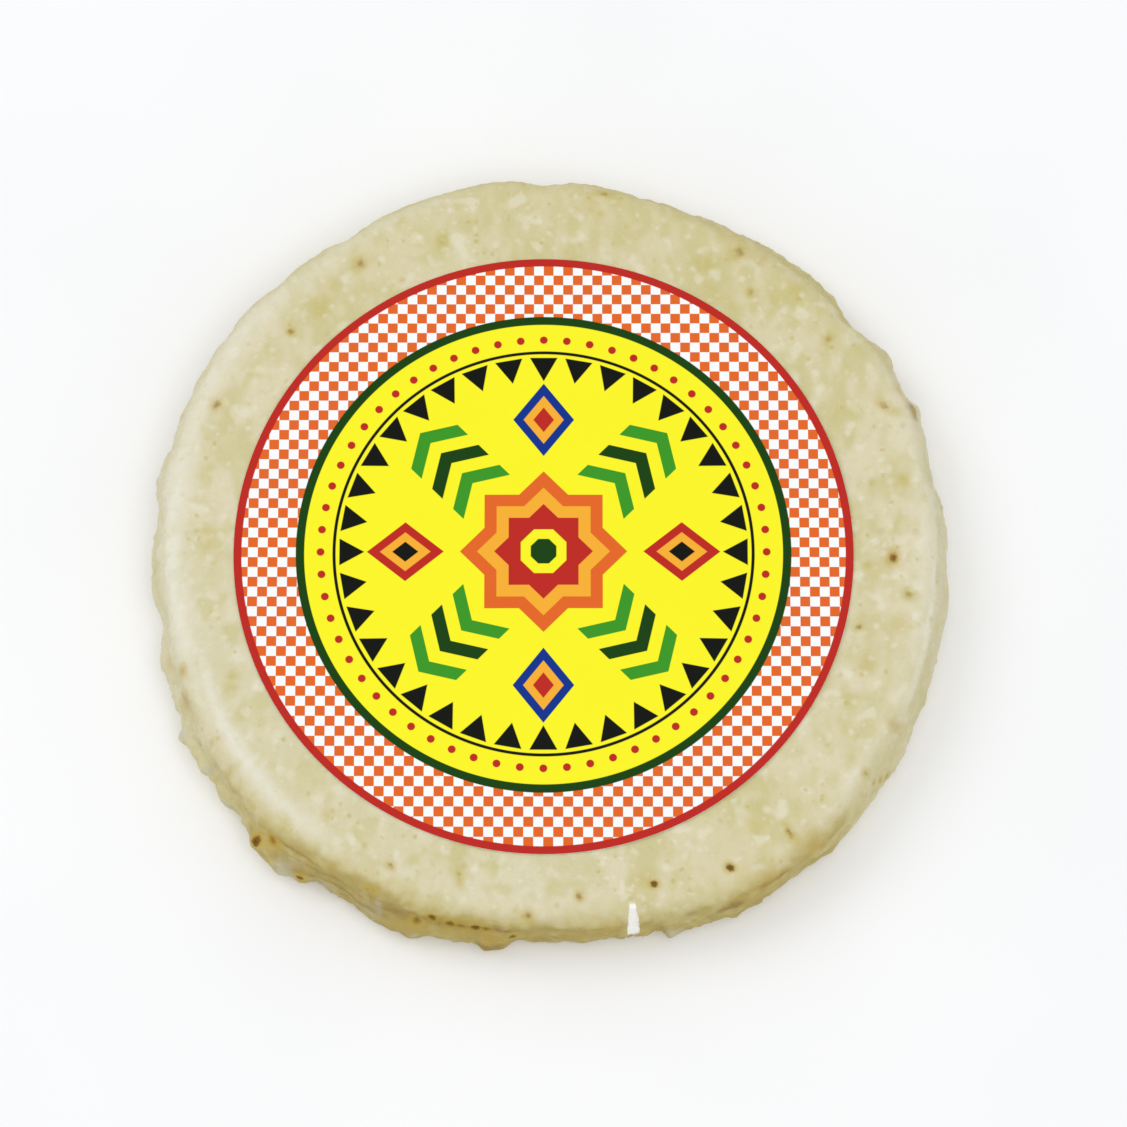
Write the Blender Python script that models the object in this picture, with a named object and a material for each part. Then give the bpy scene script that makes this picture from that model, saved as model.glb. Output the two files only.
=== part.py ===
"""A flat round white-corn arepa with a round paper label lying on its top.

Two solids: "arepa", the patted corn cake, resting on its flat underside at
z = 0, and "label", a thin paper disc that follows the cake's low crown.
Metres, +Z up.  The origin is the middle of the cake's box, at the base.
"""

import math

import bpy

MM = 0.001

# ---------------------------------------------------------------- the cake
MEAN_RADIUS = 56.4 * MM      # mean radius of the outline seen from above
HEIGHT = 11.3 * MM           # top of the crown above the base
CROWN = 0.45 * MM            # how far the top falls from its middle to CROWN_AT
CROWN_AT = 50.0 * MM
SWELL = 0.10 * MM            # slow unevenness of the patted top
EQUATOR = 4.8 * MM           # height of the widest line of the side
SHOULDER_IN = 3.7 * MM       # the top starts to round over this far in
FOOT_IN = 3.4 * MM           # the flat underside starts this far in
SHOULDER_POWER = 2.3         # superellipse powers of the two rounded edges
FOOT_POWER = 2.4

SEGMENTS = 150               # around the cake
TOP_RINGS = (9.0, 18.0, 27.0, 35.0, 42.0, 47.0)      # mm, on the flat of the top
SIDE_ANGLES = (90, 72, 57, 44, 33, 24, 16, 9, 3, -4, -12, -24, -40, -58, -76, -90)

# The outline is a circle with slow waves: (waves round the cake, height of
# the wave, direction of a crest in degrees from +X).
WAVES = ((2, 0.12 * MM, 3.0), (3, 0.43 * MM, -19.0), (4, 0.52 * MM, 44.5),
         (5, 0.35 * MM, 19.5), (7, 0.19 * MM, -4.0), (9, 0.13 * MM, 17.5))

# Lumps and dents of the hand-shaped edge: (direction in degrees, how far it
# stands out, half-width in degrees, height of its middle, half its height).
LUMPS = (
    (13, -0.85 * MM, 4.0, 5.5 * MM, 4.0 * MM),
    (23, 0.80 * MM, 1.9, 5.5 * MM, 3.5 * MM),
    (32, 1.05 * MM, 2.0, 5.0 * MM, 3.5 * MM),
    (39, -0.75 * MM, 2.4, 5.5 * MM, 5.0 * MM),
    (49, 0.42 * MM, 5.0, 5.0 * MM, 4.0 * MM),
    (63, 0.36 * MM, 5.0, 5.0 * MM, 4.0 * MM),
    (91, -1.10 * MM, 3.2, 5.5 * MM, 5.0 * MM),
    (121, -0.50 * MM, 2.0, 5.5 * MM, 4.0 * MM),
    (133, -0.60 * MM, 2.4, 5.5 * MM, 4.0 * MM),
    (168, 1.20 * MM, 2.2, 4.5 * MM, 3.0 * MM),
    (174, -0.20 * MM, 2.2, 5.0 * MM, 4.0 * MM),
    (189, -0.85 * MM, 2.4, 5.0 * MM, 4.0 * MM),
    (206, 0.95 * MM, 1.8, 3.6 * MM, 2.4 * MM),
    (219.5, -1.25 * MM, 2.4, 4.2 * MM, 3.5 * MM),
    (228.5, 1.35 * MM, 3.4, 3.6 * MM, 2.6 * MM),
    (238.5, -1.55 * MM, 4.0, 4.2 * MM, 3.6 * MM),
    (248, 0.55 * MM, 3.0, 3.6 * MM, 2.6 * MM),
    (261.5, 1.05 * MM, 2.0, 3.0 * MM, 2.0 * MM),
    (269.5, -1.25 * MM, 2.8, 3.6 * MM, 3.0 * MM),
    (282, -0.35 * MM, 3.2, 3.6 * MM, 3.0 * MM),
    (290, 0.75 * MM, 1.8, 3.6 * MM, 2.4 * MM),
    (298, 0.45 * MM, 1.8, 3.6 * MM, 2.4 * MM),
    (307, -0.72 * MM, 4.0, 4.5 * MM, 4.0 * MM),
    (330, 0.12 * MM, 4.0, 4.5 * MM, 4.0 * MM),
    (354, 0.45 * MM, 3.0, 5.0 * MM, 4.0 * MM),
)

# Where the top was pressed in from the side it stands back behind a lower
# lip: (direction of the middle, half-width in degrees, how far back).
STEPS = ((-18, 34, 0.55 * MM), (54, 20, 0.80 * MM), (226, 46, 1.10 * MM))
STEP_LOW = 5.7 * MM          # the step runs up the side between these heights
STEP_HIGH = 7.2 * MM

# A split in the near edge: it opens outward, and its floor runs down and out
# from the top to the widest line of the side.
SPLIT_LEFT = 11.35 * MM      # the two corners of its closed end
SPLIT_RIGHT = 12.05 * MM
SPLIT_TIP = -50.9 * MM       # the closed end, at the top of the cake
SPLIT_OPEN_LEFT = 0.10       # how each side opens, per metre outward
SPLIT_OPEN_RIGHT = 0.25
SPLIT_SLOPE = 0.48           # how far the floor runs out, per metre down

# --------------------------------------------------------------- the label
LABEL_RADIUS = 43.5 * MM
LABEL_THICKNESS = 0.30 * MM
LABEL_GAP = 0.30 * MM        # air between the paper and the cake
LABEL_X = -0.70 * MM         # the label lies a little off the middle
LABEL_Y = -0.40 * MM
LABEL_SEGMENTS = 96
LABEL_RINGS = (14.0, 28.0, 37.0)                     # mm


def smooth(edge0, edge1, x):
    t = max(0.0, min(1.0, (x - edge0) / (edge1 - edge0)))
    return t * t * (3.0 - 2.0 * t)


def turn(a, b):
    """Signed difference of two directions in degrees, -180 to 180."""
    return (a - b + 180.0) % 360.0 - 180.0


def outline(deg):
    """Radius of the cake in a direction, without its lumps."""
    r = MEAN_RADIUS
    for count, height, crest in WAVES:
        r += height * math.cos(math.radians(count * (deg - crest)))
    return r


def lumps(deg, z):
    out = 0.0
    for where, amount, half, mid, reach in LUMPS:
        d = turn(deg, where) / half
        if abs(d) < 4.0:
            out += amount * math.exp(-d * d - ((z - mid) / reach) ** 2)
    return out


def step_back(deg, z):
    out = 0.0
    for where, half, amount in STEPS:
        d = turn(deg, where) / half
        out += amount * math.exp(-d ** 4)
    return out * smooth(STEP_LOW, STEP_HIGH, z)


def top(x, y):
    """Height of the cake's top."""
    r2 = (x * x + y * y) / (CROWN_AT * CROWN_AT)
    swell = (math.sin(x / 0.0117 + 0.6) * math.cos(y / 0.0139 - 0.4)
             + 0.7 * math.sin((x + y) / 0.0093 + 2.1))
    return HEIGHT - CROWN * r2 + SWELL * swell * (1.0 - 0.5 * min(1.0, r2))


def side_point(deg, phi):
    """A point of the rounded side: phi is 90 at the top's rim, 0 at the
    widest line and -90 where the flat underside starts."""
    c = math.cos(math.radians(deg))
    s = math.sin(math.radians(deg))
    edge = outline(deg)
    cp = abs(math.cos(math.radians(phi)))
    sp = abs(math.sin(math.radians(phi)))
    if phi >= 0:
        rim = edge - SHOULDER_IN
        rim_z = top(rim * c, rim * s)
        r = rim + SHOULDER_IN * cp ** (2.0 / SHOULDER_POWER)
        z = EQUATOR + (rim_z - EQUATOR) * sp ** (2.0 / SHOULDER_POWER)
    else:
        r = edge - FOOT_IN + FOOT_IN * cp ** (2.0 / FOOT_POWER)
        z = EQUATOR - EQUATOR * sp ** (2.0 / FOOT_POWER)
    r += lumps(deg, z) - step_back(deg, z)
    if phi <= -90:
        z = 0.0
    return r * c, r * s, z


def new_object(name, verts, faces, material):
    mesh = bpy.data.meshes.new(name)
    mesh.from_pydata(verts, [], faces)
    mesh.validate()
    mesh.materials.append(material)
    obj = bpy.data.objects.new(name, mesh)
    bpy.context.scene.collection.objects.link(obj)
    return obj


def material(name, colour, roughness, subsurface=0.0):
    mat = bpy.data.materials.new(name)
    mat.use_nodes = True
    bsdf = mat.node_tree.nodes["Principled BSDF"]
    bsdf.inputs["Base Color"].default_value = (*colour, 1.0)
    bsdf.inputs["Roughness"].default_value = roughness
    bsdf.inputs["Metallic"].default_value = 0.0
    bsdf.inputs["Subsurface Weight"].default_value = subsurface
    return mat


def rings_between(verts, faces, rows, count):
    """Joins rows of `count` vertices, listed from the top row downward."""
    for a, b in zip(rows, rows[1:]):
        for i in range(count):
            j = (i + 1) % count
            faces.append((a + i, b + i, b + j, a + j))


def make_cake(shift_x, shift_y):
    verts = []
    faces = []
    rows = []
    directions = [360.0 * i / SEGMENTS for i in range(SEGMENTS)]

    verts.append((shift_x, shift_y, top(0.0, 0.0)))
    for ring in TOP_RINGS:
        rows.append(len(verts))
        for deg in directions:
            # the rings grow from a circle into the cake's own outline
            share = ring * MM / (MEAN_RADIUS - SHOULDER_IN)
            rim = outline(deg) - SHOULDER_IN - step_back(deg, HEIGHT)
            full = MEAN_RADIUS - SHOULDER_IN
            r = ring * MM * (1.0 + (rim / full - 1.0) * share * share)
            x = r * math.cos(math.radians(deg))
            y = r * math.sin(math.radians(deg))
            verts.append((x + shift_x, y + shift_y, top(x, y)))
    for phi in SIDE_ANGLES:
        rows.append(len(verts))
        for deg in directions:
            x, y, z = side_point(deg, phi)
            verts.append((x + shift_x, y + shift_y, z))

    for i in range(SEGMENTS):
        faces.append((0, rows[0] + i, rows[0] + (i + 1) % SEGMENTS))
    rings_between(verts, faces, rows, SEGMENTS)
    base = rows[-1]
    faces.append(tuple(base + i for i in reversed(range(SEGMENTS))))

    cake = new_object("arepa", verts, faces,
                      material("arepa_crumb", (0.68, 0.62, 0.38), 0.55, 0.15))
    cake.data.shade_smooth()
    return cake


def make_split_cutter(shift_x, shift_y):
    """A wedge along Y, wider outward, whose closed end runs out going down."""
    verts = []
    reach = -66.0 * MM
    for z in (-3.0 * MM, HEIGHT + 1.0 * MM):
        tip = SPLIT_TIP - SPLIT_SLOPE * (HEIGHT - z)
        for y, sign in ((reach, -1), (reach, 1), (tip, 1), (tip, -1)):
            if sign < 0:
                x = SPLIT_LEFT - SPLIT_OPEN_LEFT * (SPLIT_TIP - y)
            else:
                x = SPLIT_RIGHT + SPLIT_OPEN_RIGHT * (SPLIT_TIP - y)
            verts.append((x + shift_x, y + shift_y, z))
    faces = [(3, 2, 1, 0), (4, 5, 6, 7),
             (0, 1, 5, 4), (1, 2, 6, 5), (2, 3, 7, 6), (3, 0, 4, 7)]
    cutter = new_object("split_cutter", verts, faces,
                        material("cutter", (0.5, 0.5, 0.5), 0.5))
    cutter.hide_render = True
    cutter.display_type = 'WIRE'
    return cutter


def make_label(shift_x, shift_y):
    verts = []
    faces = []
    radii = [r * MM for r in LABEL_RINGS] + [LABEL_RADIUS]
    sheets = []
    for lift in (LABEL_GAP + LABEL_THICKNESS, LABEL_GAP):
        middle = len(verts)
        verts.append((LABEL_X + shift_x, LABEL_Y + shift_y, top(LABEL_X, LABEL_Y) + lift))
        rows = []
        for radius in radii:
            rows.append(len(verts))
            for i in range(LABEL_SEGMENTS):
                a = 2.0 * math.pi * i / LABEL_SEGMENTS
                x = LABEL_X + radius * math.cos(a)
                y = LABEL_Y + radius * math.sin(a)
                verts.append((x + shift_x, y + shift_y, top(x, y) + lift))
        sheets.append((middle, rows))

    upper, lower = sheets
    for i in range(LABEL_SEGMENTS):
        j = (i + 1) % LABEL_SEGMENTS
        faces.append((upper[0], upper[1][0] + i, upper[1][0] + j))
        faces.append((lower[0], lower[1][0] + j, lower[1][0] + i))
        for a, b in zip(upper[1], upper[1][1:]):
            faces.append((a + i, b + i, b + j, a + j))
        for a, b in zip(lower[1], lower[1][1:]):
            faces.append((a + j, b + j, b + i, a + i))
        faces.append((upper[1][-1] + i, lower[1][-1] + i, lower[1][-1] + j, upper[1][-1] + j))

    label = new_object("label", verts, faces,
                       material("label_paper", (0.98, 0.87, 0.04), 0.4))
    label.data.shade_smooth()
    label.data.set_sharp_from_angle(angle=math.radians(40))
    return label


def main():
    for obj in list(bpy.data.objects):
        bpy.data.objects.remove(obj, do_unlink=True)

    # the middle of the cake's box goes over the origin
    xs = []
    ys = []
    for phi in SIDE_ANGLES:
        for i in range(SEGMENTS):
            x, y, z = side_point(360.0 * i / SEGMENTS, phi)
            xs.append(x)
            ys.append(y)
    shift_x = -(min(xs) + max(xs)) / 2.0
    shift_y = -(min(ys) + max(ys)) / 2.0

    cake = make_cake(shift_x, shift_y)
    cutter = make_split_cutter(shift_x, shift_y)
    split = cake.modifiers.new("split", 'BOOLEAN')
    split.operation = 'DIFFERENCE'
    split.solver = 'EXACT'
    split.object = cutter

    make_label(shift_x, shift_y)


main()
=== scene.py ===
"""Looks of the round white-corn arepa and its paper label."""

import math

import bpy
import numpy as np
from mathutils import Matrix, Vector, kdtree


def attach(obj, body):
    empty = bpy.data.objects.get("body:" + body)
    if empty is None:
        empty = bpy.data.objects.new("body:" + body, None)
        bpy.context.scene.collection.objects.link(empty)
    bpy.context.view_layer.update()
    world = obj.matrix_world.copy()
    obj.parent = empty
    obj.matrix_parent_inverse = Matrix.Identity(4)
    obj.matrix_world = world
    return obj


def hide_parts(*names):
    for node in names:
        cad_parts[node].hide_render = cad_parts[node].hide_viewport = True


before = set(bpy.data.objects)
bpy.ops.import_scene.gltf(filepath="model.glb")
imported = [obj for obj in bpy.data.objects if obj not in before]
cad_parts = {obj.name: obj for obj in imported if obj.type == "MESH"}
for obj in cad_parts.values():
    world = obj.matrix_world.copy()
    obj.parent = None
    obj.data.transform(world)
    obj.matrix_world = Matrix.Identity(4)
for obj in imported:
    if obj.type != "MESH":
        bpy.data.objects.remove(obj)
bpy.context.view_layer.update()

MM = 0.001

# ======================================================================
#  Sizes of the cake, in millimetres, as the CAD has them
# ======================================================================
MEAN_RADIUS = 56.4
HEIGHT = 11.3
CROWN, CROWN_AT, SWELL = 0.45, 50.0, 0.10
EQUATOR = 4.8
SHOULDER_IN, FOOT_IN = 3.7, 3.4
SHOULDER_POWER, FOOT_POWER = 2.3, 2.4
SEGMENTS = 150
SIDE_ANGLES = (90, 72, 57, 44, 33, 24, 16, 9, 3, -4, -12, -24, -40, -58, -76, -90)
WAVES = ((2, 0.12, 3.0), (3, 0.43, -19.0), (4, 0.52, 44.5),
         (5, 0.35, 19.5), (7, 0.19, -4.0), (9, 0.13, 17.5))
LUMPS = (
    (13, -0.85, 4.0, 5.5, 4.0), (23, 0.80, 1.9, 5.5, 3.5), (32, 1.05, 2.0, 5.0, 3.5),
    (39, -0.75, 2.4, 5.5, 5.0), (49, 0.42, 5.0, 5.0, 4.0), (63, 0.36, 5.0, 5.0, 4.0),
    (91, -1.10, 3.2, 5.5, 5.0), (121, -0.50, 2.0, 5.5, 4.0), (133, -0.60, 2.4, 5.5, 4.0),
    (168, 1.20, 2.2, 4.5, 3.0), (174, -0.20, 2.2, 5.0, 4.0), (189, -0.85, 2.4, 5.0, 4.0),
    (206, 0.95, 1.8, 3.6, 2.4), (219.5, -1.25, 2.4, 4.2, 3.5),
    (228.5, 1.35, 3.4, 3.6, 2.6), (238.5, -1.55, 4.0, 4.2, 3.6), (248, 0.55, 3.0, 3.6, 2.6),
    (261.5, 1.05, 2.0, 3.0, 2.0), (269.5, -1.25, 2.8, 3.6, 3.0), (282, -0.35, 3.2, 3.6, 3.0),
    (290, 0.75, 1.8, 3.6, 2.4), (298, 0.45, 1.8, 3.6, 2.4), (307, -0.72, 4.0, 4.5, 4.0),
    (330, 0.12, 4.0, 4.5, 4.0), (354, 0.45, 3.0, 5.0, 4.0),
)
STEPS = ((-18, 34, 0.55), (54, 20, 0.80), (226, 46, 1.10))
STEP_LOW, STEP_HIGH = 5.7, 7.2
LABEL_RADIUS = 43.5
LABEL_X, LABEL_Y = -0.70, -0.40

# The split in the near edge: both corners of its closed end, how its two
# sides open outward, and how far its closed end leans in going down.
SPLIT_LEFT, SPLIT_RIGHT, SPLIT_TIP = 11.35, 12.05, -50.9
SPLIT_OPEN_LEFT, SPLIT_OPEN_RIGHT = 0.10, 0.25
SPLIT_SLOPE = 0.48           # how far its floor runs out for each mm down
SPLIT_AT = -76.9             # its direction from the middle, in degrees

# ======================================================================
#  Noise: hashed lattice, the same on every run
# ======================================================================


def lattice(i, j, k, seed):
    def part(a, m):
        return (a.astype(np.int64) & 0xFFFFFFFF).astype(np.uint32) * np.uint32(m)
    n = part(i, 73856093) ^ part(j, 19349663) ^ part(k, 83492791)
    n = n ^ np.uint32((seed * 2654435761) & 0xFFFFFFFF)
    n = n ^ (n >> np.uint32(16))
    n = n * np.uint32(0x7FEB352D)
    n = n ^ (n >> np.uint32(15))
    n = n * np.uint32(0x846CA68B)
    return n ^ (n >> np.uint32(16))


def gradient_noise(p, seed):
    """Smooth noise, about -1 to 1, at points p of shape (n, 3)."""
    base = np.floor(p)
    f = p - base
    w = f * f * f * (f * (f * 6.0 - 15.0) + 10.0)
    total = np.zeros(len(p))
    for dx in (0, 1):
        for dy in (0, 1):
            for dz in (0, 1):
                h = lattice(base[:, 0] + dx, base[:, 1] + dy, base[:, 2] + dz, seed)
                gx = (h & np.uint32(1023)).astype(float) / 511.5 - 1.0
                gy = ((h >> np.uint32(10)) & np.uint32(1023)).astype(float) / 511.5 - 1.0
                gz = ((h >> np.uint32(20)) & np.uint32(1023)).astype(float) / 511.5 - 1.0
                dot = gx * (f[:, 0] - dx) + gy * (f[:, 1] - dy) + gz * (f[:, 2] - dz)
                wx = w[:, 0] if dx else 1.0 - w[:, 0]
                wy = w[:, 1] if dy else 1.0 - w[:, 1]
                wz = w[:, 2] if dz else 1.0 - w[:, 2]
                total += wx * wy * wz * dot
    return total * 1.5


def layered(p, size, octaves, seed, fall=0.5):
    """Several sizes of noise, the largest `size` mm across."""
    total = np.zeros(len(p))
    amp, norm = 1.0, 0.0
    for o in range(octaves):
        total += amp * gradient_noise(p / size + 17.3 * o, seed + o)
        norm += amp
        amp *= fall
        size *= 0.5
    return total / norm


def patches(p, size, octaves, seed, fall=0.5):
    """Cloudy field of mean 0 and spread 1."""
    n = layered(p, size, octaves, seed, fall)
    return (n - n.mean()) / n.std()


def smooth(a, b, x):
    t = np.clip((x - a) / (b - a), 0.0, 1.0)
    return t * t * (3.0 - 2.0 * t)


def turn(a, b):
    return (a - b + 180.0) % 360.0 - 180.0


# ======================================================================
#  The cake's form
# ======================================================================


def outline(deg):
    r = np.full(np.shape(deg), MEAN_RADIUS)
    for count, height, crest in WAVES:
        r = r + height * np.cos(np.radians(count * (deg - crest)))
    return r


def lumps(deg, z):
    out = np.zeros(np.broadcast(deg, z).shape)
    for where, amount, half, mid, reach in LUMPS:
        d = turn(deg, where) / half
        out = out + np.where(np.abs(d) < 4.0, amount * np.exp(-d * d - ((z - mid) / reach) ** 2), 0.0)
    return out


def step_amount(deg):
    out = np.zeros(np.shape(deg))
    for where, half, amount in STEPS:
        out = out + amount * np.exp(-(turn(deg, where) / half) ** 4)
    return out


def top(x, y):
    r2 = (x * x + y * y) / (CROWN_AT * CROWN_AT)
    swell = (np.sin(x / 11.7 + 0.6) * np.cos(y / 13.9 - 0.4)
             + 0.7 * np.sin((x + y) / 9.3 + 2.1))
    return HEIGHT - CROWN * r2 + SWELL * swell * (1.0 - 0.5 * np.minimum(1.0, r2))


def side_rz(deg, phi):
    """Radius and height on the rounded side."""
    c, s = np.cos(np.radians(deg)), np.sin(np.radians(deg))
    edge = outline(deg)
    cp = abs(math.cos(math.radians(phi)))
    sp = abs(math.sin(math.radians(phi)))
    if phi >= 0:
        rim = edge - SHOULDER_IN
        rim_z = top(rim * c, rim * s)
        r = rim + SHOULDER_IN * cp ** (2.0 / SHOULDER_POWER)
        z = EQUATOR + (rim_z - EQUATOR) * sp ** (2.0 / SHOULDER_POWER)
    else:
        r = edge - FOOT_IN + FOOT_IN * cp ** (2.0 / FOOT_POWER)
        z = EQUATOR - EQUATOR * sp ** (2.0 / FOOT_POWER) + 0.0 * deg
    r = r + lumps(deg, z) - step_amount(deg) * smooth(STEP_LOW, STEP_HIGH, z)
    if phi <= -90:
        z = z * 0.0
    return r, z


def find_shift():
    """The CAD puts the middle of the cake's box over the origin."""
    deg = np.arange(SEGMENTS) * 360.0 / SEGMENTS
    xs, ys = [], []
    for phi in SIDE_ANGLES:
        r, z = side_rz(deg, phi)
        xs.append(r * np.cos(np.radians(deg)))
        ys.append(r * np.sin(np.radians(deg)))
    xs, ys = np.concatenate(xs), np.concatenate(ys)
    return -(xs.min() + xs.max()) / 2.0, -(ys.min() + ys.max()) / 2.0


SHIFT_X, SHIFT_Y = find_shift()


def split_wall(deg, z):
    """How far out the dough reaches before the split, or 999 beside it."""
    c, s = np.cos(np.radians(deg)), np.sin(np.radians(deg))
    tip = SPLIT_TIP - SPLIT_SLOPE * (HEIGHT - z)
    s = np.where(s < -0.5, s, -0.5)
    r_tip = tip / s
    left = (SPLIT_LEFT - SPLIT_OPEN_LEFT * SPLIT_TIP) / np.maximum(c - SPLIT_OPEN_LEFT * s, 1e-3)
    slant = c + SPLIT_OPEN_RIGHT * s
    right = (SPLIT_RIGHT + SPLIT_OPEN_RIGHT * SPLIT_TIP) / np.minimum(slant, -1e-4)
    r = np.maximum(np.maximum(r_tip, left), right)
    near = (np.abs(turn(deg, SPLIT_AT)) < 4.5) & (slant < -1e-4)
    return np.where(near, r, 999.0)


def soft_min(a, b, k):
    h = np.clip(0.5 + 0.5 * (b - a) / k, 0.0, 1.0)
    return b * (1.0 - h) + a * h - k * h * (1.0 - h)


# ---------------------------------------------------------------- the grid
AROUND = 1000


def directions():
    """Directions round the cake, closer together at the split."""
    fine = np.linspace(-180.0, 180.0, 72001)
    density = 1.0 + 9.0 * np.exp(-((fine - SPLIT_AT) / 2.6) ** 4)
    total = np.concatenate([[0.0], np.cumsum((density[1:] + density[:-1]) * 0.5)])
    want = np.arange(AROUND) / AROUND * total[-1]
    return np.interp(want, total, fine)


def side_phis(spacing):
    """Angles down the side that lie evenly along it."""
    def profile(phi):
        cp, sp = abs(math.cos(math.radians(phi))), abs(math.sin(math.radians(phi)))
        if phi >= 0:
            return (SHOULDER_IN * cp ** (2 / SHOULDER_POWER), EQUATOR + (10.8 - EQUATOR) * sp ** (2 / SHOULDER_POWER))
        return (SHOULDER_IN - FOOT_IN + FOOT_IN * cp ** (2 / FOOT_POWER), EQUATOR - EQUATOR * sp ** (2 / FOOT_POWER))
    fine = [90.0 - 180.0 * i / 6000 for i in range(6001)]
    pts = [profile(p) for p in fine]
    length = [0.0]
    for a, b in zip(pts, pts[1:]):
        length.append(length[-1] + math.hypot(a[0] - b[0], a[1] - b[1]))
    count = int(round(length[-1] / spacing))
    return np.interp(np.arange(count + 1) / count * length[-1], length, fine), length[-1]


def build_cake():
    """Returns points (mm), faces, and for each point its row's place along
    the section, in mm from the middle of the top."""
    deg = directions()
    c, s = np.cos(np.radians(deg)), np.sin(np.radians(deg))
    step = step_amount(deg)
    rows = []                # each: (r, z, along, zone, every)

    for ring, every in ((5.0, 8), (10.0, 8), (15.0, 8), (20.0, 8), (24.5, 8), (29.0, 4),
                        (32.5, 4), (35.5, 4), (38.0, 2), (40.0, 2), (41.5, 1)):
        rows.append((np.full(AROUND, ring), None, ring, 0, every))
    rim = outline(deg) - SHOULDER_IN - step
    inner, count = 42.3, 22
    for i in range(count):
        t = i / count
        rows.append((inner + (rim - inner) * t, None, inner + (MEAN_RADIUS - SHOULDER_IN - inner) * t, 0, 1))
    phis, side_length = side_phis(0.33)
    for k, phi in enumerate(phis):
        r, z = side_rz(deg, float(phi))
        along = MEAN_RADIUS - SHOULDER_IN + side_length * k / (len(phis) - 1)
        r = soft_min(r, split_wall(deg, z), 0.30)
        rows.append((r, z, along, 1 if k < len(phis) - 1 else 2, 1))
    foot_r = rows[-1][0]
    foot_along = rows[-1][2]
    for k in range(1, 7):
        r = np.minimum(51.8 - 1.1 * k + 0.6 * (foot_r.mean() - 51.8), foot_r - 0.22 * k)
        rows.append((r, np.zeros(AROUND), foot_along + 1.1 * k, 2, 1))
    for ring, every in ((43.5, 2), (41.0, 2), (38.0, 4), (34.0, 4), (29.0, 8), (23.0, 8), (16.0, 8), (8.0, 8)):
        rows.append((np.full(AROUND, ring), np.zeros(AROUND), foot_along + 51.8 - ring, 2, every))

    pts, faces, along, zone, starts = [], [], [], [], []
    pts.append([0.0, 0.0, float(top(0.0, 0.0))])
    along.append(0.0)
    zone.append(0)
    total = 1
    for r, z, a, kind, every in rows:
        idx = np.arange(0, AROUND, every)
        x, y = r[idx] * c[idx], r[idx] * s[idx]
        zz = top(x, y) if z is None else z[idx]
        pts.extend(np.stack([x, y, zz], 1).tolist())
        along.extend([a] * len(idx))
        zone.extend([kind] * len(idx))
        starts.append((total, len(idx)))
        total += len(idx)
    pts.append([0.0, 0.0, 0.0])
    along.append(foot_along + 51.8)
    zone.append(2)
    last = total

    s0, n0 = starts[0]
    for i in range(n0):
        faces.append((0, s0 + i, s0 + (i + 1) % n0))
    for (a, na), (b, nb) in zip(starts, starts[1:]):
        if na == nb:
            for i in range(na):
                j = (i + 1) % na
                faces.append((a + i, b + i, b + j, a + j))
        elif nb == 2 * na:                     # finer outward
            for i in range(na):
                j = (i + 1) % na
                b0, b1, b2 = b + 2 * i, b + 2 * i + 1, b + (2 * i + 2) % nb
                faces.append((a + i, b0, b1))
                faces.append((a + i, b1, a + j))
                faces.append((a + j, b1, b2))
        elif na == 2 * nb:                     # coarser inward, underneath
            for i in range(nb):
                j = (i + 1) % nb
                a0, a1, a2 = a + 2 * i, a + 2 * i + 1, a + (2 * i + 2) % na
                faces.append((a0, b + i, a1))
                faces.append((a1, b + i, b + j))
                faces.append((a1, b + j, a2))
        else:
            raise ValueError("rows don't match")
    s1, n1 = starts[-1]
    for i in range(n1):
        faces.append((last, s1 + (i + 1) % n1, s1 + i))
    return np.array(pts), faces, np.array(along), np.array(zone)


def point_normals(pts, faces):
    tri = []
    for f in faces:
        tri.append(f[:3])
        if len(f) == 4:
            tri.append((f[0], f[2], f[3]))
    tri = np.array(tri)
    n = np.cross(pts[tri[:, 1]] - pts[tri[:, 0]], pts[tri[:, 2]] - pts[tri[:, 0]])
    out = np.zeros_like(pts)
    for k in range(3):
        np.add.at(out, tri[:, k], n)
    return out / np.maximum(np.linalg.norm(out, axis=1, keepdims=True), 1e-12)


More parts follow.
